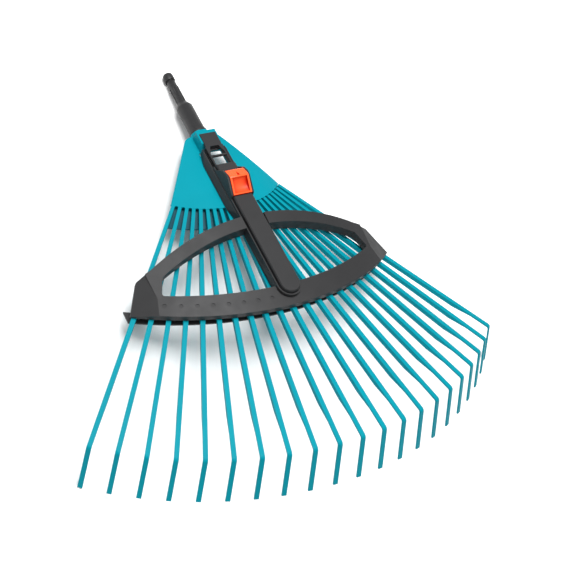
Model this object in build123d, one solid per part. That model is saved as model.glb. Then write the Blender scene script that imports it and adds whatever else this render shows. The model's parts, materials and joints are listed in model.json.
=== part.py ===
"""Head of an adjustable leaf rake, as an assembly of its separate pieces.

Twenty-one tines fan out of an arched head. A spreader slides along a rail on the head and draws
the tines together, and a sprung lever in the spreader holds the setting. A stem plugs the head
into a long handle. Sizes are in millimetres.

Design frame: the tine lines meet at its origin, +X is to the right, +Y points to the handle and
+Z is up. In the frame of the written files the head lies on the floor, on its two outer tips and
the end of its stem, with the origin on the floor below the middle of the whole.
"""
import os
from math import asin, atan, cos, degrees, radians, sin, sqrt, tan

from build123d import *

# ---- fan of tines ----
SIDE_TINES = 10                 # tines on each side of the middle one
FAN_ANGLE = 39.1                # direction of the outer tine, from the middle one, in degrees
ROOT_RADIUS = 104.4             # front edge of the head
PIVOT_RADIUS = 97.0             # tine pins, from the origin
BEND_RADIUS = 391.7             # where a tine turns down into its tip
TIP_LENGTH = 49.7
TIP_ANGLE = 61.5                # tip below the line of its tine, in degrees
ROOT_WIDTH = 3.7
TINE_WIDTH = 4.9
TINE_DEPTH = 5.0
TAPER_END = 215.0               # radius at which a tine reaches its full width
SWOOP_START = 344.0             # from here the underside rises to the thin end
SWOOP_END = 366.0
STRIP_DEPTH = 1.9               # thickness of the springy end
BEND_OUTER_RADIUS = 5.0
SWOOP_BLEND = 26.0
TONGUE_DEPTH = 1.6              # root of a tine, between the plate and the base
PIN_RADIUS = 1.0
PIN_PLAY = 0.05
EYE_RADIUS = 2.6
JOINT_GAP = 0.45                # between the root of a tine and the edge of the plate

# ---- head ----
HEAD_ARCH = 181.0               # radius of the arched head, which makes the outer tines droop
PLATE_THICK = 2.2
PLATE_BACK = -5.5
PLATE_BACK_HALF = 19.4
PLATE_SIDE_SLOPE = 0.653        # widening of the plate per millimetre towards the tines
SHOULDER_RADIUS = 11.0
RIB_THICK = 2.2
RIB_DEPTH = 5.0
RIB_INSET = 4.0
TONGUE_ROOM = 0.8               # above and below the roots of the tines
BASE_SIDE_STEP = 0.4            # degrees by which the base stops short of the outer tine
WALL_SIDE_STEP = 2.0
HEAD_SCREW_ANGLES = (-31.0, -14.0, 14.0, 31.0)
BASE_THICK = 2.0
BASE_BACK = 80.0                # radii of the base under the roots of the tines
BASE_FRONT = 125.0
BASE_WALL = 8.0
SLOT_MARGIN = 2.9               # opening in the plate under the open rail, beyond the rail
SLOT_BACK = -28.5
SLOT_FRONT = -61.0
BLOCK_WALL = 1.2                # beside the rail
BLOCK_BACK = -8.0
BLOCK_FRONT = -25.0
BLOCK_TOE = 3.0
BLOCK_STEP = 1.3                # below the top of the rail
BOSS_BACK = -2.0
BOSS_FRONT = -20.0
BOSS_RADIUS = 10.8

# ---- stem ----
STEM_Z = -4.1
STEM_RADIUS = 9.2
COLLAR_RADIUS = 10.4
COLLAR_LENGTH = 3.0
SPIGOT_RADIUS = 7.4
SPIGOT_LENGTH = 16.0
BODY_LENGTH = 36.0
CONE_LENGTH = 7.0
SHANK_RADIUS = 5.4
SHANK_LENGTH = 23.0
NECK_RADIUS = 4.9
NECK_LENGTH = 8.5
GROOVE_RADIUS = 4.1
GROOVE_LENGTH = 1.6
KNOB_RADIUS = 6.0
KNOB_LENGTH = 10.4
KNOB_ROUND = 3.6
FLUTES = 6
FLUTE_RADIUS = 1.5
STEM_PIN_RADIUS = 2.0

# ---- rail ----
RAIL_TOP = 12.8
RAIL_BACK = -13.0
RAIL_HALF = 10.6
RAIL_TONGUE_STEP = 0.9          # narrower in the pocket of the block
RAIL_LIP = 2.4                  # thickness of the rail's top
RAIL_GROOVE_DEPTH = 0.9
RAIL_GROOVE_HEIGHT = 2.0
RAIL_RIDGE = 0.2
RAIL_WALL_STEP = 0.3
RAIL_WALL = 1.4                 # from the inside of the open rail to its side
RAIL_FOOT_BACK = -63.0          # behind this the rail bridges the opening in the plate
RAIL_FOOT = -0.1
RAIL_STEP = 2.5                 # the rail starts its full height this far in front of the block
TINE_ROOM = 1.0                 # between the fan and what passes over it
RACK_START = -31.0
RACK_PITCH = 14.0
RACK_RUNG = 2.0
RACK_WINDOWS = 11
FIRST_WINDOW_SLANT = 3.8        # the first window narrows towards the block
FIRST_WINDOW_STEP = 2.0
STOP_LENGTH = 3.0
STOP_TONGUE = 6.0
STOP_PLAY = 1.0                 # beyond the last notch
FIT = 0.3                       # all round a sliding piece
RAIL_SCREW_BACK = -23.5
RAIL_SCREW_FRONT = -86.0
BOSS_HALF_LENGTH = 4.5
FRONT_BOSS_TOP = 7.0

# ---- spreader frame ----
TRAVEL_NOTCHES = 7
BAR_FRONT = -237.5              # front edge of the bar on the middle line
BAR_CURVE = 285.0
BAR_DEPTH = 24.0
ARCH_BACK = -127.0              # back edge of the rear arch on the middle line
ARCH_CURVE = 309.0
ARCH_DEPTH = 14.0
SHOULDER_X = 124.0
CORNER_X = 142.0
CORNER_Y = -158.5
END_X = 159.0
WINDOW_X = 126.0                # outer end of a window, at the bar
WINDOW_SLANT = 8.0
WINDOW_ROUND = 3.0
FRAME_TOP = 15.2                # top on the middle line, above the back edge of the rear arch
FRAME_SLOPE = 0.066             # fall of the top towards the front
FRAME_ARCH = 430.0
ROOF_ROOM = 1.1                 # above the fan
ROOF_ARCH = 463.0
CAP_CREASE = 131.0              # the ends of the frame slope down outside this line
CAP_SLOPE = 0.56
DIMPLES = 8
FIRST_DIMPLE = 1.5              # in tines from the middle one
DIMPLE_RADIUS = 2.3
DIMPLE_DEPTH = 0.6

# ---- keeper under the bar ----
KEEPER_DEPTH = 13.0
KEEPER_INSET = 1.0
KEEPER_ROOM = 1.9               # under the fan
KEEPER_ARCH = 430.0
KEEPER_THICK = 2.0
PEG_RADIUS = 1.2
PEG_SEAT = 1.5
PEG_GAP = 0.6                   # beside the tine that the peg guides
SCREW_GAPS = (1, 4, 7)          # gaps between tines that hold a screw boss
SCREW_BOSS_RADIUS = 2.3

# ---- slider arm ----
ARM_BACK = -58.0
ARM_NOSE = -215.8               # centre of the round nose
ARM_ROOF = 3.5                  # over the rail
ARM_WALL = 2.5
ARM_LEDGE_WIDTH = 2.4
ARM_LEDGE_DROP = 4.0
ARM_FOOT = ROOF_ROOM            # the walls end level with the roof of the bar
CREASE_WIDTH = 0.9
CREASE_DEPTH = 1.4
LIP_FRONT = -95.0
WING_OUTLINE = (                # (x from the side of the arm, y) of a skirt beside the rail
    (-0.6, -31.0), (-0.2, -31.0), (3.0, -47.0), (3.0, -106.0), (0.0, -122.0), (-1.6, -122.0),
    (-1.6, -59.0), (-0.6, -59.0))
WING_SPREAD = 3.0
WING_FOOT = 0.5
WING_TOP = 10.0
WING_DRAFT = 2.6
CHEEK_THICK = 2.1
POCKET_BACK = -68.7
POCKET_FRONT = -102.2
DECK_BACK = -88.0               # thin deck in the front of the pocket, under the spring
DECK_THICK = 0.5
ARM_SCREW_X = 6.5
ARM_SCREW_Y = -220.5
ARM_SCREW_COVER = 2.1           # above the ends of the screws
ARM_SCREW_SEAT = 3.2            # the heads sit in the bar, clear of the fan
CHEEK_OUTLINE = (               # (y, z above the channel) of the walls beside the lever
    (-62.5, -4.0), (-63.5, 0.4), (-72.5, 10.9), (-79.5, 13.9), (-85.0, 13.5), (-101.8, 4.3),
    (-103.0, -4.0))
CHEEK_ROUND = 2.5
COVER_CHAMFER = 1.0
ARM_BAR_GAP = 0.5               # behind the bar, where the arm drops beside it
PEG_PLAY = 0.1

# ---- latch ----
LATCH_OUTLINE = (               # (y, z above the channel) of the lever from the side
    (-69.9, 1.3), (-69.0, 4.1), (-74.0, 11.7), (-84.8, 15.1), (-101.6, 4.9), (-101.6, 3.3),
    (-80.0, 3.3), (-78.0, 1.3))
LATCH_ROUND = 3.0
NOTCH_HALF = 1.8                # small dent in the middle of the crown
NOTCH_BACK = -77.5
NOTCH_FRONT = -84.0
NOTCH_FLOOR = 12.9
LATCH_PIVOT_Y = -86.0
LATCH_PIVOT_RISE = 5.5          # above the channel
LATCH_PIN_RADIUS = 1.5
LATCH_PIN_SKIN = 0.7            # the pin ends inside the cheeks
RECESS_RIM = 2.1
RECESS_RADIUS = 11.0
RECESS_Y = -96.8
RECESS_RISE = 16.0
PAWL_HALF = 6.0
PAWL_BACK = -71.4
PAWL_LENGTH = 4.6
SPRING_WIRE = 0.35
SPRING_RADIUS = 2.4
SPRING_Y = -91.5
SPRING_RISE = 5.1
SPRING_TURNS = 4

# ---- screws ----
SCREW_RADIUS = 1.5
SCREW_HEAD_RADIUS = 3.0
SCREW_HEAD = 1.8
SCREW_SLOT = 0.8
PEG_SCREW_RADIUS = 1.1
PEG_SCREW_HEAD_RADIUS = 2.1

SKY = 60.0                      # reach of cutting shapes above and below the rake
FLOOR_STEPS = 8

rail_front = LIP_FRONT - TRAVEL_NOTCHES * RACK_PITCH - STOP_PLAY
window_length = RACK_PITCH - RACK_RUNG
tine_numbers = range(-SIDE_TINES, SIDE_TINES + 1)
tongue_top = TONGUE_DEPTH - TINE_DEPTH
base_top = -TINE_DEPTH - TONGUE_ROOM
tongue_roof = tongue_top + TONGUE_ROOM
rail_groove_half = RAIL_HALF - RAIL_GROOVE_DEPTH
rail_ridge_half = RAIL_HALF + RAIL_RIDGE
rail_wall_half = RAIL_HALF - RAIL_WALL_STEP
rail_bore_half = rail_wall_half - RAIL_WALL
rail_tongue_half = RAIL_HALF - RAIL_TONGUE_STEP
slot_half = RAIL_HALF + SLOT_MARGIN
block_half = RAIL_HALF + BLOCK_WALL
block_top = RAIL_TOP - BLOCK_STEP
channel_half = rail_ridge_half + FIT
channel_top = RAIL_TOP + FIT
arm_half = channel_half + ARM_WALL
arm_cover_half = arm_half - ARM_LEDGE_WIDTH
arm_top = channel_top + ARM_ROOF
arm_ledge = arm_top - ARM_LEDGE_DROP
pocket_half = arm_half - CHEEK_THICK
latch_half = pocket_half - FIT
latch_pivot_z = channel_top + LATCH_PIVOT_RISE
latch_pin_half = arm_half - LATCH_PIN_SKIN
spring_top = channel_top + SPRING_RISE
arm_screw_top = arm_top - ARM_SCREW_COVER
deck_top = channel_top + DECK_THICK
rail_groove_top = RAIL_TOP - RAIL_LIP
rail_groove_bottom = rail_groove_top - RAIL_GROOVE_HEIGHT
arc_centre_y = BAR_FRONT + BAR_CURVE


# ---- geometry of the fan ----
def arch_z(x, radius):
    """Height of an arch along Y, whose top is at zero."""
    return sqrt(radius**2 - x**2) - radius


def tine_azimuth(number):
    return radians(FAN_ANGLE * number / SIDE_TINES)


def tine_slope(number):
    """Rise per millimetre of X of the plane in which a tine swings."""
    x = PIVOT_RADIUS * sin(tine_azimuth(number))
    return arch_z(x, HEAD_ARCH) / x if number else 0.0


def tine_plane(number):
    """Local frame of a tine at rest: X along it, Z up its hinge axis, origin where the tines meet."""
    turn = tine_azimuth(number)
    slope = tine_slope(number)
    along = Vector(sin(turn), -cos(turn), slope * sin(turn)).normalized()
    up = Vector(-slope, 0, 1).normalized()
    return Plane(origin=(0, 0, 0), x_dir=along, z_dir=up)


def pivot_point(number):
    return tine_plane(number).from_local_coords(Vector(PIVOT_RADIUS, 0, 0))


def guide_radius(number, depth):
    """Distance from the origin, in plan, at which a tine crosses the bar this far behind its front."""
    turn = tine_azimuth(number)
    centre = arc_centre_y + depth
    return sqrt(BAR_CURVE**2 - (centre * sin(turn))**2) - centre * cos(turn)


def fan_half(radius):
    """Half width that takes in the whole fan as far out as radius, its outer eyes included."""
    return radius * sin(radians(FAN_ANGLE)) + 2 * EYE_RADIUS


# ---- shapes used by several pieces ----
def arch_slab(half, back, front, top, top_arch, bottom, bottom_arch, slope=0.0):
    """Solid between two arches that run along Y, falling by slope towards the front."""
    top_edge = ThreePointArc((-half, back, top + arch_z(half, top_arch)), (0, back, top),
                             (half, back, top + arch_z(half, top_arch)))
    bottom_edge = ThreePointArc((half, back, bottom + arch_z(half, bottom_arch)), (0, back, bottom),
                                (-half, back, bottom + arch_z(half, bottom_arch)))
    right_edge = Line(top_edge @ 1, bottom_edge @ 0)
    left_edge = Line(bottom_edge @ 1, top_edge @ 0)
    face = make_face([top_edge, right_edge, bottom_edge, left_edge])
    return extrude(face, amount=(back - front) * sqrt(1 + slope**2), dir=(0, -1, -slope))


def prism(*edges):
    """Upright prism over a closed outline drawn at height zero."""
    return extrude(make_face(list(edges)), amount=SKY, both=True)


def plan_prism(*points):
    return prism(*Polyline(*[(x, y, 0) for x, y in points], close=True).edges())


def side_prism(half, *points):
    """Block between -half and +half in X over an outline given as (y, z)."""
    face = make_face(Polyline(*[(0, y, z) for y, z in points], close=True).edges())
    return extrude(face, amount=half, both=True, dir=(1, 0, 0))


def block(x_low, x_high, y_low, y_high, z_low, z_high):
    size = (x_high - x_low, y_high - y_low, z_high - z_low)
    middle = ((x_low + x_high) / 2, (y_low + y_high) / 2, (z_low + z_high) / 2)
    return Pos(*middle) * Box(*size)


def post(x, y, z_low, z_high, radius):
    return Pos(x, y, (z_low + z_high) / 2) * Cylinder(radius, z_high - z_low)


def cross_rod(y, z, radius, half):
    """Rod along X."""
    return Pos(0, y, z) * Rot(0, 90, 0) * Cylinder(radius, 2 * half)


def bar_arc(half, depth):
    """Front arc of the bar, moved back by depth, from left to right."""
    def y_at(x):
        return arc_centre_y + depth - sqrt(BAR_CURVE**2 - x**2)
    return ThreePointArc((-half, y_at(half), 0), (0, y_at(0), 0), (half, y_at(half), 0))


def rear_arc(half, depth):
    """Back arc of the rear arch, moved forward by depth, from left to right."""
    centre = ARCH_BACK - ARCH_CURVE
    radius = ARCH_CURVE - depth

    def y_at(x):
        return centre + sqrt(radius**2 - x**2)
    return ThreePointArc((-half, y_at(half), 0), (0, y_at(0), 0), (half, y_at(half), 0))


def screw(length, radius=SCREW_RADIUS, head_radius=SCREW_HEAD_RADIUS):
    """Screw driven upwards: the seat of its head at the origin, the shank above, the slot below."""
    shank = post(0, 0, 0, length, radius)
    head = post(0, 0, -SCREW_HEAD, 0, head_radius)
    slot = block(-head_radius, head_radius, -SCREW_SLOT / 2, SCREW_SLOT / 2,
                 -SCREW_HEAD, -SCREW_HEAD / 2)
    return shank + head - slot


def frame_top(x, y):
    return FRAME_TOP - FRAME_SLOPE * (ARCH_BACK - y) + arch_z(x, FRAME_ARCH)


# ---- tines ----
def tine_blank():
    """One tine in its local frame, with its pin hole on the local Z axis at the pivot radius."""
    lean = radians(TIP_ANGLE)
    end_x = BEND_RADIUS + TIP_LENGTH * cos(lean)
    end_z = -TIP_LENGTH * sin(lean)
    step_x = PIVOT_RADIUS + EYE_RADIUS
    side = Polyline(
        (PIVOT_RADIUS, 0, tongue_top), (step_x, 0, tongue_top), (step_x, 0, 0), (BEND_RADIUS, 0, 0),
        (end_x, 0, end_z), (end_x - STRIP_DEPTH * sin(lean), 0, end_z - STRIP_DEPTH * cos(lean)),
        (BEND_RADIUS - STRIP_DEPTH * tan(lean / 2), 0, -STRIP_DEPTH), (SWOOP_END, 0, -STRIP_DEPTH),
        (SWOOP_START, 0, -TINE_DEPTH), (PIVOT_RADIUS, 0, -TINE_DEPTH), close=True)
    face = make_face(side.edges())

    def corner(x, z):
        return face.vertices().sort_by_distance((x, 0, z))[0]
    face = fillet(corner(BEND_RADIUS, 0), BEND_OUTER_RADIUS)
    face = fillet(corner(BEND_RADIUS - STRIP_DEPTH * tan(lean / 2), -STRIP_DEPTH),
                  BEND_OUTER_RADIUS - STRIP_DEPTH)
    face = fillet([corner(SWOOP_END, -STRIP_DEPTH), corner(SWOOP_START, -TINE_DEPTH)], SWOOP_BLEND)
    body = extrude(face, amount=TINE_WIDTH, both=True, dir=(0, 1, 0))
    outline = plan_prism((PIVOT_RADIUS, -ROOT_WIDTH / 2), (ROOT_RADIUS, -ROOT_WIDTH / 2),
                         (TAPER_END, -TINE_WIDTH / 2), (end_x + TINE_WIDTH, -TINE_WIDTH / 2),
                         (end_x + TINE_WIDTH, TINE_WIDTH / 2), (TAPER_END, TINE_WIDTH / 2),
                         (ROOT_RADIUS, ROOT_WIDTH / 2), (PIVOT_RADIUS, ROOT_WIDTH / 2))
    body = body & outline
    clear_of_plate = ROOT_RADIUS - PIVOT_RADIUS + JOINT_GAP
    body -= post(PIVOT_RADIUS, 0, tongue_top, SKY, clear_of_plate)
    body += post(PIVOT_RADIUS, 0, -TINE_DEPTH, tongue_top, EYE_RADIUS)
    body -= post(PIVOT_RADIUS, 0, -SKY, SKY, PIN_RADIUS + PIN_PLAY)
    return body


def tine_pin(number, play=0.0):
    """Pin of one tine, from the base into the plate, or the hole for it."""
    low = base_top - BASE_THICK - play
    high = -PLATE_THICK / 2
    return tine_plane(number).location * post(PIVOT_RADIUS, 0, low, high, PIN_RADIUS)


def tine_pins():
    return Compound([tine_pin(number) for number in tine_numbers])


# ---- head ----
def plate_outline(back, inset, front):
    """Upright prism over the plate's outline, its sides moved in, as far forward as asked."""
    half_back = PLATE_BACK_HALF - inset
    half_front = half_back + (back - front) * PLATE_SIDE_SLOPE
    return plan_prism((-half_back, back), (half_back, back), (half_front, front), (-half_front, front))


def fan_sector(inner, outer, half_angle):
    """Upright prism over a ring sector about the origin, open to -Y."""
    swing = radians(half_angle)
    outer_arc = ThreePointArc((-outer * sin(swing), -outer * cos(swing), 0), (0, -outer, 0),
                              (outer * sin(swing), -outer * cos(swing), 0))
    inner_arc = ThreePointArc((inner * sin(swing), -inner * cos(swing), 0), (0, -inner, 0),
                              (-inner * sin(swing), -inner * cos(swing), 0))
    return prism(outer_arc, Line(outer_arc @ 1, inner_arc @ 0), inner_arc,
                 Line(inner_arc @ 1, outer_arc @ 0))


def head_screw_points():
    """Screws of the base, on the middle of its back wall."""
    radius = BASE_BACK + BASE_WALL / 2
    turns = [radians(angle) for angle in HEAD_SCREW_ANGLES]
    return [(radius * sin(turn), -radius * cos(turn)) for turn in turns]


def head_plate():
    half = fan_half(ROOT_RADIUS)
    slab = arch_slab(half, PLATE_BACK, -ROOT_RADIUS - EYE_RADIUS, 0, HEAD_ARCH, -PLATE_THICK, HEAD_ARCH)
    outline = plate_outline(PLATE_BACK, 0, -ROOT_RADIUS - EYE_RADIUS)
    outline = fillet(outline.edges().filter_by(Axis.Z).group_by(Axis.Y)[-1], SHOULDER_RADIUS)
    bumps = [tine_plane(number).location
             * post(PIVOT_RADIUS, 0, -SKY, SKY, ROOT_RADIUS - PIVOT_RADIUS) for number in tine_numbers]
    plate = slab & outline & post(0, 0, -SKY, SKY, PIVOT_RADIUS) + bumps
    rib_back = PLATE_BACK - RIB_INSET
    rib_front = -BASE_BACK * cos(radians(FAN_ANGLE))
    rib_slab = arch_slab(half, rib_back, rib_front,
                         -PLATE_THICK, HEAD_ARCH, -PLATE_THICK - RIB_DEPTH, HEAD_ARCH)
    rib_ring = (plate_outline(rib_back, RIB_INSET, -ROOT_RADIUS)
                - plate_outline(rib_back - RIB_THICK, RIB_INSET + RIB_THICK, -2 * ROOT_RADIUS))
    plate += rib_slab & rib_ring & post(0, 0, -SKY, SKY, BASE_BACK - FIT)
    plate += socket_block()
    plate -= block(-slot_half, slot_half, SLOT_FRONT, SLOT_BACK, -SKY, SKY)
    plate -= Pos(0, BOSS_BACK, STEM_Z) * Rot(90, 0, 0) * Cylinder(SPIGOT_RADIUS, 2 * SPIGOT_LENGTH)
    plate -= cross_rod(stem_pin_y(), STEM_Z, STEM_PIN_RADIUS, BOSS_RADIUS + FIT)
    plate -= rail_room()
    for y in (RAIL_SCREW_BACK, RAIL_SCREW_FRONT):
        plate -= post(0, y, -SKY, RAIL_TOP, SCREW_RADIUS)
    for number in tine_numbers:
        plate -= tine_pin(number)
    for x, y in head_screw_points():
        plate -= post(x, y, -SKY, arch_z(x, HEAD_ARCH) - PLATE_THICK / 2, SCREW_RADIUS)
    return plate


def socket_block():
    """Raised block that holds the rail, with the round boss of the stem below it."""
    upper = side_prism(block_half, (BLOCK_BACK, block_top), (BLOCK_FRONT, block_top),
                       (BLOCK_FRONT - BLOCK_TOE, RAIL_FOOT), (BLOCK_FRONT - BLOCK_TOE, -PLATE_THICK),
                       (BLOCK_BACK, -PLATE_THICK))
    length = BOSS_BACK - BOSS_FRONT
    boss = Pos(0, stem_pin_y(), STEM_Z) * Rot(90, 0, 0) * Cylinder(BOSS_RADIUS, length)
    boss &= block(-SKY, SKY, BOSS_FRONT, BOSS_BACK, -SKY, block_top / 2)
    shoulder = block(-BOSS_RADIUS, BOSS_RADIUS, BOSS_FRONT, BOSS_BACK, STEM_Z, -PLATE_THICK / 2)
    return upper + boss + shoulder


def rail_room():
    """Pocket in the top of the block for the tongue of the rail."""
    front = BLOCK_FRONT - BLOCK_TOE - 1
    return block(-rail_tongue_half, rail_tongue_half, front, RAIL_BACK, rail_groove_top, SKY)


def head_base():
    """Curved tray under the roots of the tines, with a back wall that reaches the plate."""
    half = fan_half(BASE_FRONT)
    floor = arch_slab(half, 0, -BASE_FRONT, base_top, HEAD_ARCH, base_top - BASE_THICK, HEAD_ARCH)
    tray = floor & fan_sector(BASE_BACK, BASE_FRONT, FAN_ANGLE - BASE_SIDE_STEP)
    wall = arch_slab(half, 0, -BASE_FRONT, -PLATE_THICK, HEAD_ARCH, base_top - BASE_THICK, HEAD_ARCH)
    tray += wall & fan_sector(BASE_BACK, BASE_BACK + BASE_WALL, FAN_ANGLE - WALL_SIDE_STEP)
    tray -= post(0, RAIL_SCREW_FRONT, -SKY, -PLATE_THICK, SCREW_HEAD_RADIUS + FIT)
    for number in tine_numbers:
        tray -= tine_pin(number)
    for x, y in head_screw_points():
        tray -= post(x, y, -SKY, 0, SCREW_RADIUS)
    return tray


def head_screws():
    seat = base_top - BASE_THICK
    group = []
    for x, y in head_screw_points():
        z = seat + arch_z(abs(x) + SCREW_HEAD_RADIUS, HEAD_ARCH)
        length = arch_z(x, HEAD_ARCH) - PLATE_THICK / 2 - z
        group.append(Pos(x, y, z) * screw(length))
    return Compound(group)


# ---- stem ----
def stem_pin_y():
    return (BOSS_BACK + BOSS_FRONT) / 2


def stem():
    """Turned stem along Y: spigot, collar, thick body, shank, neck, groove and rounded knob."""
    y = BOSS_BACK
    rim = [(0, y - SPIGOT_LENGTH), (SPIGOT_RADIUS, y - SPIGOT_LENGTH), (SPIGOT_RADIUS, y),
           (COLLAR_RADIUS, y), (COLLAR_RADIUS, y + COLLAR_LENGTH), (STEM_RADIUS, y + COLLAR_LENGTH)]
    y += COLLAR_LENGTH + BODY_LENGTH
    rim += [(STEM_RADIUS, y), (SHANK_RADIUS, y + CONE_LENGTH)]
    y += CONE_LENGTH + SHANK_LENGTH
    rim += [(SHANK_RADIUS, y), (NECK_RADIUS, y)]
    y += NECK_LENGTH
    rim += [(NECK_RADIUS, y), (GROOVE_RADIUS, y)]
    y += GROOVE_LENGTH
    rim += [(GROOVE_RADIUS, y), (KNOB_RADIUS, y), (KNOB_RADIUS, y + KNOB_LENGTH), (0, y + KNOB_LENGTH)]
    face = make_face(Polyline(*[(x, py, 0) for x, py in rim], close=True).edges())
    face = fillet(face.vertices().sort_by_distance((KNOB_RADIUS, y + KNOB_LENGTH, 0))[0], KNOB_ROUND)
    body = revolve(face, Axis.Y)
    shank_middle = BOSS_BACK + COLLAR_LENGTH + BODY_LENGTH + CONE_LENGTH + SHANK_LENGTH / 2
    for flute in range(FLUTES):
        groove = (Rot(0, flute * 360 / FLUTES, 0) * Pos(SHANK_RADIUS + FLUTE_RADIUS / 2, shank_middle, 0)
                  * Rot(90, 0, 0) * Cylinder(FLUTE_RADIUS, SHANK_LENGTH - 2 * FLUTE_RADIUS))
        body -= groove
    body = Pos(0, 0, STEM_Z) * body
    return body - cross_rod(stem_pin_y(), STEM_Z, STEM_PIN_RADIUS, SKY)


def stem_pin():
    return cross_rod(stem_pin_y(), STEM_Z, STEM_PIN_RADIUS, BOSS_RADIUS - FIT)


# ---- rail ----
def guide_rail():
    full_back = BLOCK_FRONT - BLOCK_TOE - RAIL_STEP
    ridge_bottom = rail_groove_bottom - RAIL_GROOVE_HEIGHT
    foot = arch_z(rail_bore_half, HEAD_ARCH)
    body = block(-RAIL_HALF, RAIL_HALF, rail_front, full_back, rail_groove_top, RAIL_TOP)
    body += block(-rail_tongue_half, rail_tongue_half, full_back, RAIL_BACK, rail_groove_top, RAIL_TOP)
    body += block(-rail_groove_half, rail_groove_half, rail_front, full_back,
                  rail_groove_bottom, rail_groove_top)
    body += block(-rail_ridge_half, rail_ridge_half, rail_front, full_back,
                  ridge_bottom, rail_groove_bottom)
    body += block(-rail_wall_half, rail_wall_half, rail_front, RAIL_FOOT_BACK, TINE_ROOM, ridge_bottom)
    body += block(-rail_wall_half, rail_wall_half, -PIVOT_RADIUS, RAIL_FOOT_BACK, foot, TINE_ROOM)
    body -= block(-rail_bore_half, rail_bore_half, rail_front - 1, full_back - RAIL_LIP, -SKY,
                  rail_groove_top)
    body += block(-rail_bore_half, rail_bore_half, RAIL_SCREW_FRONT - BOSS_HALF_LENGTH,
                  RAIL_SCREW_FRONT + BOSS_HALF_LENGTH, 0, FRONT_BOSS_TOP)
    for index in range(RACK_WINDOWS):
        back = RACK_START - index * RACK_PITCH
        front = back - window_length
        half_back = rail_bore_half - FIRST_WINDOW_SLANT if index == 0 else rail_bore_half
        window = plan_prism((-half_back, back), (half_back, back),
                            (rail_bore_half, front + FIRST_WINDOW_STEP), (rail_bore_half, front),
                            (-rail_bore_half, front), (-rail_bore_half, front + FIRST_WINDOW_STEP))
        body -= window & block(-SKY, SKY, front, back, FRONT_BOSS_TOP, SKY)
    body -= post(0, RAIL_SCREW_BACK, -SKY, rail_groove_top + RAIL_LIP / 2, SCREW_RADIUS)
    body -= post(0, RAIL_SCREW_FRONT, -SKY, FRONT_BOSS_TOP - 1, SCREW_RADIUS)
    return body


def rail_stop():
    """Plug in the front end of the rail that stops the lips of the arm."""
    cap = block(-RAIL_HALF, RAIL_HALF, rail_front - STOP_LENGTH, rail_front, TINE_ROOM, RAIL_TOP)
    tongue = block(-rail_bore_half, rail_bore_half, rail_front, rail_front + STOP_TONGUE,
                   TINE_ROOM, rail_groove_top)
    return cap + tongue


def rail_screws():
    seat = arch_z(SCREW_HEAD_RADIUS, HEAD_ARCH) - PLATE_THICK
    return Compound([
        Pos(0, RAIL_SCREW_BACK, seat) * screw(rail_groove_top + RAIL_LIP / 2 - seat),
        Pos(0, RAIL_SCREW_FRONT, seat) * screw(FRONT_BOSS_TOP - 1 - seat)])


# ---- spreader frame ----
def frame_outline():
    """Outline of the whole frame in plan: rear arch, slanted ends and curved bar."""
    back = rear_arc(SHOULDER_X, 0)
    front = bar_arc(END_X, 0)
    left = Polyline(back @ 0, (-CORNER_X, CORNER_Y, 0), front @ 0)
    right = Polyline(front @ 1, (CORNER_X, CORNER_Y, 0), back @ 1)
    return prism(back, front, *left.edges(), *right.edges())


def frame_window():
    """Opening between the rear arch and the bar, both sides in one."""
    back = rear_arc(WINDOW_X - WINDOW_SLANT, ARCH_DEPTH)
    front = bar_arc(WINDOW_X, BAR_DEPTH)
    opening = prism(back, front, Line(back @ 0, front @ 0), Line(back @ 1, front @ 1))
    return fillet(opening.edges().filter_by(Axis.Z), WINDOW_ROUND)


def frame_slab():
    """Solid between the sloping top of the frame and the roof over the fan."""
    top = arch_slab(END_X + 1, ARCH_BACK + 1, BAR_FRONT - 1, FRAME_TOP, FRAME_ARCH,
                    -SKY, ROOF_ARCH, FRAME_SLOPE)
    under = arch_slab(END_X + 2, ARCH_BACK + 2, BAR_FRONT - 2, ROOF_ROOM, ROOF_ARCH,
                      -2 * SKY, ROOF_ARCH)
    return top - under


def cap_cut(side):
    """Wedge above the sloping end of the frame."""
    y = CORNER_Y
    z = frame_top(CAP_CREASE, (CORNER_Y + BAR_FRONT) / 2 + BAR_DEPTH / 2)
    reach = END_X
    outer = side * (CAP_CREASE + reach)
    wedge = Polyline((side * CAP_CREASE, y, z), (outer, y, z - reach * CAP_SLOPE),
                     (outer, y, z + reach), close=True)
    face = make_face(wedge.edges())
    return extrude(face, amount=END_X, both=True, dir=(0, 1, 0))


def peg_point(gap):
    """Place in plan of the peg in a gap, counted from the middle tine to either side."""
    outer = abs(gap) if gap < 0 else gap + 1
    side = -1 if gap < 0 else 1
    turn = tine_azimuth(outer)
    depth = KEEPER_INSET + KEEPER_DEPTH / 2
    radius = guide_radius(outer, depth)
    away = TINE_WIDTH / 2 + PEG_GAP + PEG_RADIUS - TINE_DEPTH * tine_slope(outer)
    if outer - 1 in SCREW_GAPS:
        away += SCREW_BOSS_RADIUS - PEG_RADIUS
    x = radius * sin(turn) - away * cos(turn)
    y = -radius * cos(turn) - away * sin(turn)
    return side * x, y


def gap_numbers():
    return range(-SIDE_TINES, SIDE_TINES)


def is_screw_gap(gap):
    return (abs(gap) - 1 if gap < 0 else gap) in SCREW_GAPS


def frame_blank():
    """The frame before its holes: what the plan outline leaves of the slab."""
    return frame_slab() & frame_outline() - frame_window()


def arm_region(keep_bar):
    """Block around the arm, either in front of the back edge of the bar or behind it."""
    edge = BAR_FRONT + BAR_DEPTH + ARM_BAR_GAP
    if keep_bar:
        return block(-SKY, SKY, BAR_FRONT - SKY, edge, -SKY, SKY)
    return block(-arm_half, arm_half, edge, 0, -SKY, SKY)


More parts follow.
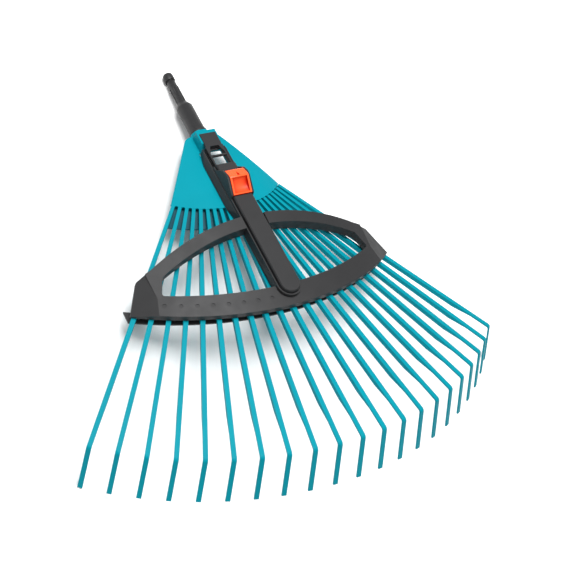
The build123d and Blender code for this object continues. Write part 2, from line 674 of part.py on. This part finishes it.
def spreader_frame():
    body = frame_blank() - arm_region(keep_bar=False)
    for side in (-1, 1):
        body -= cap_cut(side)
    for gap in gap_numbers():
        x, y = peg_point(gap)
        radius = SCREW_BOSS_RADIUS if is_screw_gap(gap) else PEG_RADIUS
        roof = ROOF_ROOM + arch_z(x, ROOF_ARCH)
        body -= post(x, y, roof - SKY, roof + PEG_SEAT + FIT, radius + PEG_PLAY)
        if is_screw_gap(gap):
            body -= post(x, y, roof, roof + 2 * PEG_SEAT, PEG_SCREW_RADIUS)
    for index in range(DIMPLES):
        body -= dimple(-(FIRST_DIMPLE + index))
    for side in (-1, 1):
        x = side * ARM_SCREW_X
        body -= post(x, ARM_SCREW_Y, -SKY, SKY, SCREW_RADIUS)
        body -= post(x, ARM_SCREW_Y, -SKY, ARM_SCREW_SEAT, SCREW_HEAD_RADIUS + FIT)
    return body


def dimple(place):
    """Shallow round mark on the bar over a gap between two tines."""
    turn = tine_azimuth(place)
    radius = guide_radius(place, BAR_DEPTH / 2)
    x, y = radius * sin(turn), -radius * cos(turn)
    lean = degrees(asin(x / FRAME_ARCH))
    return Pos(x, y, frame_top(x, y)) * Rot(0, lean, 0) * Cylinder(DIMPLE_RADIUS, 2 * DIMPLE_DEPTH)


def spreader_keeper():
    """Curved strip that closes the bar under the tines, with the pegs that guide them."""
    top = -TINE_DEPTH - KEEPER_ROOM
    bottom = top - KEEPER_THICK
    slab = arch_slab(END_X, BAR_FRONT + 2 * SKY, BAR_FRONT, top, KEEPER_ARCH, bottom, KEEPER_ARCH)
    front = bar_arc(END_X - KEEPER_INSET, KEEPER_INSET)
    back = bar_arc(END_X - KEEPER_INSET, KEEPER_INSET + KEEPER_DEPTH)
    body = slab & prism(front, back, Line(front @ 0, back @ 0), Line(front @ 1, back @ 1))
    for gap in gap_numbers():
        x, y = peg_point(gap)
        radius = SCREW_BOSS_RADIUS if is_screw_gap(gap) else PEG_RADIUS
        foot = bottom + KEEPER_THICK / 2 + arch_z(x, KEEPER_ARCH)
        body += post(x, y, foot, ROOF_ROOM + PEG_SEAT + arch_z(x, ROOF_ARCH), radius)
        if is_screw_gap(gap):
            body -= post(x, y, -SKY, SKY, PEG_SCREW_RADIUS)
    return body


def keeper_screws():
    group = []
    for gap in gap_numbers():
        if is_screw_gap(gap):
            x, y = peg_point(gap)
            rim = arch_z(abs(x) + PEG_SCREW_HEAD_RADIUS, KEEPER_ARCH)
            seat = rim - TINE_DEPTH - KEEPER_ROOM - KEEPER_THICK
            tip = arch_z(x, ROOF_ARCH) + ROOF_ROOM + 2 * PEG_SEAT
            group.append(Pos(x, y, seat) * screw(tip - seat, PEG_SCREW_RADIUS, PEG_SCREW_HEAD_RADIUS))
    return Compound(group)


# ---- slider arm ----
def arm_layer(half, z_low, z_high):
    """Straight part of the arm with its round nose, at one level."""
    straight = block(-half, half, ARM_NOSE, ARM_BACK, z_low, z_high)
    return straight + post(0, ARM_NOSE, z_low, z_high, half)


def rounded_profile(half, outline, corners, radius):
    """Block between -half and +half over an outline above the channel, some corners rounded."""
    points = [(0, y, channel_top + rise) for y, rise in outline]
    face = make_face(Polyline(*points, close=True).edges())
    rounded = [face.vertices().sort_by_distance(point)[0] for point in points[corners]]
    return extrude(fillet(rounded, radius), amount=half, both=True, dir=(1, 0, 0))


def cheeks():
    """Walls on both sides of the lever, with a curved crest."""
    plate = rounded_profile(arm_half, CHEEK_OUTLINE, slice(1, -1), CHEEK_ROUND)
    return plate - block(-pocket_half, pocket_half, -2 * SKY, 0, -SKY, SKY)


def wings():
    """Low skirts on both sides that lean in towards their top."""
    outline = [(arm_half + away, y) for away, y in WING_OUTLINE]
    skirt = plan_prism(*outline) & block(0, SKY, -3 * SKY, 0, WING_FOOT, WING_TOP)
    side = arm_half + WING_SPREAD
    lean = Polyline((side, 0, WING_FOOT), (side + 1, 0, WING_FOOT), (side + 1, 0, WING_TOP + 1),
                    (side - WING_DRAFT, 0, WING_TOP + 1), close=True)
    skirt -= extrude(make_face(lean.edges()), amount=3 * SKY, dir=(0, -1, 0))
    return skirt + mirror(skirt, Plane.YZ)


def slider_arm():
    body = arm_layer(arm_half, ARM_FOOT, arm_ledge)
    body -= arm_layer(arm_cover_half + CREASE_WIDTH, arm_ledge - CREASE_DEPTH, arm_ledge)
    cover = arm_layer(arm_cover_half, arm_ledge - CREASE_DEPTH, arm_top)
    body += chamfer(cover.edges().group_by(Axis.Z)[-1], COVER_CHAMFER)
    body -= frame_blank() & arm_region(keep_bar=True)
    body += cheeks() + wings()
    front = BAR_FRONT + BAR_DEPTH + ARM_BAR_GAP + FIT
    body -= block(-channel_half, channel_half, front, 0, -SKY, channel_top)
    body -= block(-pocket_half, pocket_half, POCKET_FRONT, DECK_BACK, deck_top, SKY)
    body -= block(-pocket_half, pocket_half, DECK_BACK, POCKET_BACK, channel_top, SKY)
    for side in (-1, 1):
        lip = block(rail_groove_half + FIT, channel_half + FIT, LIP_FRONT, ARM_BACK,
                    rail_groove_bottom + FIT, rail_groove_top - FIT)
        body += lip if side > 0 else mirror(lip, Plane.YZ)
        body -= post(side * ARM_SCREW_X, ARM_SCREW_Y, -SKY, arm_screw_top, SCREW_RADIUS)
    return body - latch_pin()


def arm_screws():
    seat = ARM_SCREW_SEAT
    return Compound([Pos(side * ARM_SCREW_X, ARM_SCREW_Y, seat) * screw(arm_screw_top - seat)
                     for side in (-1, 1)])


# ---- latch ----
def latch_lever():
    """Saddle pressed by the thumb, scooped in front, with the pawl under its back end."""
    body = rounded_profile(latch_half, LATCH_OUTLINE, slice(1, 4), LATCH_ROUND)
    body -= cross_rod(RECESS_Y, channel_top + RECESS_RISE, RECESS_RADIUS, latch_half - RECESS_RIM)
    body -= post(0, SPRING_Y, 0, spring_top, SPRING_RADIUS + 2 * SPRING_WIRE)
    notch = plan_prism((-NOTCH_HALF, NOTCH_FRONT), (NOTCH_HALF, NOTCH_FRONT), (0, NOTCH_BACK))
    body -= notch & block(-SKY, SKY, NOTCH_FRONT, NOTCH_BACK, channel_top + NOTCH_FLOOR, SKY)
    body += block(-PAWL_HALF, PAWL_HALF, PAWL_BACK - PAWL_LENGTH, PAWL_BACK, channel_top, latch_pivot_z)
    return body - cross_rod(LATCH_PIVOT_Y, latch_pivot_z, LATCH_PIN_RADIUS + PIN_PLAY, SKY)


def latch_pin():
    return cross_rod(LATCH_PIVOT_Y, latch_pivot_z, LATCH_PIN_RADIUS, latch_pin_half)


def latch_spring():
    """Coil spring between the deck of the arm and the hollow of the lever."""
    height = spring_top - deck_top - 2 * SPRING_WIRE
    path = Helix(height / SPRING_TURNS, height, SPRING_RADIUS)
    coil = sweep(Plane(origin=path @ 0, z_dir=path % 0) * Circle(SPRING_WIRE), path)
    return Pos(0, SPRING_Y, deck_top + SPRING_WIRE) * coil


# ---- placing and writing ----
def floor_angle(touching):
    """Turn about X that puts the outer tip and the end of the stem on one level."""
    tine, end = touching
    angle = 0.0
    for _ in range(FLOOR_STEPS):
        turn = Rot(-angle, 0, 0)
        tip_box = (turn * tine).bounding_box()
        end_box = (turn * end).bounding_box()
        drop = end_box.min.Z - tip_box.min.Z
        angle += degrees(atan(drop / (end_box.max.Y - tip_box.min.Y)))
    return angle


def build_pieces():
    blank = tine_blank()
    pieces = {
        "head_plate": head_plate(), "head_base": head_base(), "head_screws": head_screws(),
        "tine_pins": tine_pins(), "stem": stem(), "stem_pin": stem_pin(),
        "guide_rail": guide_rail(), "rail_stop": rail_stop(), "rail_screws": rail_screws(),
        "spreader_frame": spreader_frame(), "spreader_keeper": spreader_keeper(),
        "keeper_screws": keeper_screws(), "slider_arm": slider_arm(), "arm_screws": arm_screws(),
        "latch_lever": latch_lever(), "latch_pin": latch_pin(), "latch_spring": latch_spring()}
    for number in tine_numbers:
        pieces[tine_name(number)] = tine_plane(number).location * blank
    return pieces


def tine_name(number):
    """Tines are numbered from the left, starting at one."""
    return f"tine_{number + SIDE_TINES + 1:02d}"


def rest_on_floor(pieces):
    """Location that takes the design frame to the frame of the written files."""
    angle = floor_angle((pieces[tine_name(SIDE_TINES)], pieces["stem"]))
    turn = Rot(-angle, 0, 0)
    boxes = [(turn * piece).bounding_box() for piece in pieces.values()]
    low_y = min(box.min.Y for box in boxes)
    high_y = max(box.max.Y for box in boxes)
    low_z = min(box.min.Z for box in boxes)
    return Pos(0, -(low_y + high_y) / 2, -low_z) * turn


pieces = build_pieces()
placement = rest_on_floor(pieces)
os.makedirs("parts", exist_ok=True)
for name, piece in pieces.items():
    export_step(placement * piece, f"parts/{name}.step")
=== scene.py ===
"""Looks of the adjustable leaf rake head: camera, light, floor, materials and finer shapes.

Everything is in metres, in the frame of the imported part: +Z up from the floor, +Y to the handle.
"""

import json
from math import radians

import bpy
from mathutils import Matrix, Vector

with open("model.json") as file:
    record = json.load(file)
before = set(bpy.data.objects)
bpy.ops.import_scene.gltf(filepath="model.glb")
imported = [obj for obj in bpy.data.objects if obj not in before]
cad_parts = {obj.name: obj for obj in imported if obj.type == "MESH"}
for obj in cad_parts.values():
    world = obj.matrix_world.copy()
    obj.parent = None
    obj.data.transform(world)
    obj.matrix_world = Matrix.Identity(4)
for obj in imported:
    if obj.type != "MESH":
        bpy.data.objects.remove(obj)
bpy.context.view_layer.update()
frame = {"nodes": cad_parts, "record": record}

# ---- camera ----
CAMERA_PLACE = (-0.6243, -0.3426, 1.1243)
CAMERA_TARGET = (0.01563, -0.04108, 0.05)
CAMERA_ROLL = 46.25             # the rake lies level, so the camera is turned about its view
CAMERA_LENS = 76.34             # on a 36 mm sensor

# ---- colours, linear ----
TEAL = (0.000, 0.225, 0.285)
# painted shade: darker teal for the shaded band between the tine roots
TEAL_PAINTED_SHADE = (0.000, 0.060, 0.085)
ORANGE = (0.900, 0.100, 0.022)
# painted shade: darker red for the lever's hollows
ORANGE_PAINTED_SHADE = (0.480, 0.010, 0.000)
GRAPHITE = (0.018, 0.018, 0.019)
STEEL = (0.450, 0.450, 0.460)
FLOOR = (0.900, 0.900, 0.900)

# ---- surfaces ----
NOISE_LOW = 0.3                 # nearly all of a noise texture lies between these
NOISE_HIGH = 0.7
TONE_SCALE = 14.0               # spots of uneven tone, per metre
TONE_RANGE = (0.94, 1.05)
SCUFF_SCALE = 60.0
SCUFF_RANGE = (-0.05, 0.07)     # around the roughness of the plastic
GRAIN_STRENGTH = 0.35
HOLLOW_SHADE_REACH = 0.030            # reach of the painted shade in the lever's hollows
HOLLOW_SHADE_LOW = 0.62               # openness at which the painted shade colour and the plain one are reached
HOLLOW_SHADE_HIGH = 0.98
BRUSH_SCALE = 90.0
BRUSH_STRETCH = (1, 9, 1)
BRUSH_RANGE = (0.85, 1.10)
SHINE_SCALE = 400.0
SHINE_STRETCH = (1, 12, 1)
SHINE_RANGE = (0.25, 0.45)
PAPER_SCALE = 3.0
PAPER_RANGE = (0.985, 1.010)
PAPER_ROUGHNESS = 0.9

# ---- rounded edges ----
WELD_GAP = 0.00002
SHARP_ANGLE = 34.0
TINE_EDGE = 0.0008
EDGES = {"slider_arm": 0.0004, "guide_rail": 0.0003, "latch_lever": 0.0007, "stem": 0.0003}
TINES = 21

# ---- floor and light ----
FLOOR_SIZE = 12.0
WORLD_STRENGTH = 0.48
LIGHT_TARGET = (0, 0, 0.05)
KEY_PLACE = (-0.05, 0.45, 1.95)
KEY_SIZE = 1.1
KEY_POWER = 50
FILL_PLACE = (-0.60, -0.30, 2.30)
FILL_SIZE = 2.0
FILL_POWER = 14


# ---- materials ----
class Nodes:
    """A material's node tree, with the principled shader and short ways to add to it."""

    def __init__(self, name):
        self.material = bpy.data.materials.new(name)
        self.material.use_nodes = True
        self.tree = self.material.node_tree
        self.shader = self.tree.nodes["Principled BSDF"]

    def add(self, kind, **settings):
        node = self.tree.nodes.new(kind)
        for key, value in settings.items():
            if key in node.inputs:
                node.inputs[key].default_value = value
            else:
                setattr(node, key, value)
        return node

    def join(self, source, target):
        self.tree.links.new(source, target)

    def noise(self, scale, detail=4.0, stretch=(1, 1, 1)):
        """Noise in object space, with its spots drawn out by stretch."""
        place = self.add("ShaderNodeTexCoord")
        mapping = self.add("ShaderNodeMapping")
        mapping.inputs["Scale"].default_value = stretch
        self.join(place.outputs["Object"], mapping.inputs["Vector"])
        noise = self.add("ShaderNodeTexNoise", Scale=scale, Detail=detail)
        self.join(mapping.outputs["Vector"], noise.inputs["Vector"])
        return noise.outputs["Fac"]

    def span(self, value, low, high):
        """Spreads a noise value to the range from low to high."""
        node = self.add("ShaderNodeMapRange")
        node.inputs["From Min"].default_value = NOISE_LOW
        node.inputs["From Max"].default_value = NOISE_HIGH
        node.inputs["To Min"].default_value = low
        node.inputs["To Max"].default_value = high
        self.join(value, node.inputs["Value"])
        return node.outputs["Result"]

    def shade(self, colour, factor):
        """Colour made lighter or darker by a factor socket."""
        node = self.add("ShaderNodeHueSaturation")
        node.inputs["Color"].default_value = (*colour, 1)
        self.join(factor, node.inputs["Value"])
        return node.outputs["Color"]


def moulded_plastic(name, colour, roughness, grain, grain_depth, sheen=0.3):
    """Injection-moulded plastic: soft uneven tone, fine grain and scuffed gloss."""
    n = Nodes(name)
    tone = n.span(n.noise(TONE_SCALE, 3.0), *TONE_RANGE)
    n.join(n.shade(colour, tone), n.shader.inputs["Base Color"])
    smoother, rougher = SCUFF_RANGE
    scuffs = n.span(n.noise(SCUFF_SCALE, 5.0), roughness + smoother, roughness + rougher)
    n.join(scuffs, n.shader.inputs["Roughness"])
    n.shader.inputs["Specular IOR Level"].default_value = sheen
    bump = n.add("ShaderNodeBump", Strength=GRAIN_STRENGTH, Distance=grain_depth)
    n.join(n.noise(grain, 2.0), bump.inputs["Height"])
    n.join(bump.outputs["Normal"], n.shader.inputs["Normal"])
    return n


def paint_hollow_shade(n, colour):
    """Paints shade into the hollows of a moulded plastic: mixes a darker colour in by ambient occlusion.
    """
    tone = n.shader.inputs["Base Color"].links[0].from_socket
    ao_shade = n.add("ShaderNodeAmbientOcclusion", Distance=HOLLOW_SHADE_REACH)
    unshaded_part = n.add("ShaderNodeMapRange")
    unshaded_part.inputs["From Min"].default_value = HOLLOW_SHADE_LOW
    unshaded_part.inputs["From Max"].default_value = HOLLOW_SHADE_HIGH
    mix = n.add("ShaderNodeMixRGB")
    mix.inputs["Color1"].default_value = (*colour, 1)
    n.join(ao_shade.outputs["AO"], unshaded_part.inputs["Value"])
    n.join(unshaded_part.outputs["Result"], mix.inputs["Fac"])
    n.join(tone, mix.inputs["Color2"])
    n.join(mix.outputs["Color"], n.shader.inputs["Base Color"])
    return n


def brushed_metal(name, colour):
    n = Nodes(name)
    tone = n.span(n.noise(BRUSH_SCALE, 4.0, BRUSH_STRETCH), *BRUSH_RANGE)
    n.join(n.shade(colour, tone), n.shader.inputs["Base Color"])
    n.shader.inputs["Metallic"].default_value = 1.0
    n.join(n.span(n.noise(SHINE_SCALE, 3.0, SHINE_STRETCH), *SHINE_RANGE), n.shader.inputs["Roughness"])
    return n


def floor_paper():
    n = Nodes("floor_paper")
    n.join(n.shade(FLOOR, n.span(n.noise(PAPER_SCALE), *PAPER_RANGE)), n.shader.inputs["Base Color"])
    n.shader.inputs["Roughness"].default_value = PAPER_ROUGHNESS
    return n


materials = {
    "teal_plastic": moulded_plastic("teal_plastic", TEAL, 0.42, 900.0, 0.00006, sheen=0.06).material,
    "dark_plastic": moulded_plastic("dark_plastic", GRAPHITE, 0.50, 1400.0, 0.00010, sheen=0.32).material,
    # the orange lever gets painted shade in its hollows
    "orange_plastic": paint_hollow_shade(moulded_plastic("orange_plastic", ORANGE, 0.34, 1100.0, 0.00006),
                             ORANGE_PAINTED_SHADE).material,
    "steel": brushed_metal("steel", STEEL).material,
}
# darker teal material, painted shade for the band between the tine roots
painted_shade_teal = moulded_plastic("teal_shadow", TEAL_PAINTED_SHADE, 0.5, 900.0, 0.00006).material


def dress(thing, material):
    thing.data.materials.clear()
    thing.data.materials.append(material)


for part in frame["record"]["subparts"]:
    dress(frame["nodes"][part["node"]], materials[part["material_slot"]])
# head_base gets the darker teal as painted shade between the tine roots
dress(frame["nodes"]["head_base"], painted_shade_teal)


# ---- rounded edges on the moulded pieces ----
def soften(node, width):
    """Rounds the sharp edges of a piece and keeps its flats flat."""
    thing = frame["nodes"][node]
    weld = thing.modifiers.new("weld", "WELD")
    weld.merge_threshold = WELD_GAP
    bevel = thing.modifiers.new("round", "BEVEL")
    bevel.width = width
    bevel.segments = 2
    bevel.limit_method = "ANGLE"
    bevel.angle_limit = radians(SHARP_ANGLE)
    bevel.use_clamp_overlap = True
    bevel.harden_normals = True


for number in range(1, TINES + 1):
    soften(f"tine_{number:02d}", TINE_EDGE)
for node, width in EDGES.items():
    soften(node, width)


# ---- floor, light and camera ----
def add_floor():
    bpy.ops.mesh.primitive_plane_add(size=FLOOR_SIZE)
    floor = bpy.context.object
    floor.name = "floor"
    floor.data.materials.append(floor_paper().material)


def look_from(place, target, roll=0.0):
    """Matrix of something at place that looks at target."""
    back = (Vector(place) - Vector(target)).normalized()
    turn = back.to_track_quat("Z", "Y").to_matrix().to_4x4()
    return Matrix.Translation(place) @ turn @ Matrix.Rotation(radians(roll), 4, "Z")


def soft_light(name, place, size, power):
    light = bpy.data.lights.new(name, "AREA")
    light.shape = "DISK"
    light.size = size
    light.energy = power
    thing = bpy.data.objects.new(name, light)
    thing.matrix_world = look_from(place, LIGHT_TARGET)
    bpy.context.scene.collection.objects.link(thing)


def add_world(strength):
    world = bpy.data.worlds.new("studio")
    world.use_nodes = True
    world.node_tree.nodes["Background"].inputs["Color"].default_value = (1, 1, 1, 1)
    world.node_tree.nodes["Background"].inputs["Strength"].default_value = strength
    bpy.context.scene.world = world


add_floor()
add_world(WORLD_STRENGTH)
soft_light("key", KEY_PLACE, KEY_SIZE, KEY_POWER)
soft_light("fill", FILL_PLACE, FILL_SIZE, FILL_POWER)
bpy.context.scene.view_settings.view_transform = "Standard"

camera = bpy.data.cameras.new("camera")
camera.lens = CAMERA_LENS
camera.sensor_width = 36.0
camera_thing = bpy.data.objects.new("camera", camera)
camera_thing.matrix_world = look_from(CAMERA_PLACE, CAMERA_TARGET, CAMERA_ROLL)
bpy.context.scene.collection.objects.link(camera_thing)
bpy.context.scene.camera = camera_thing
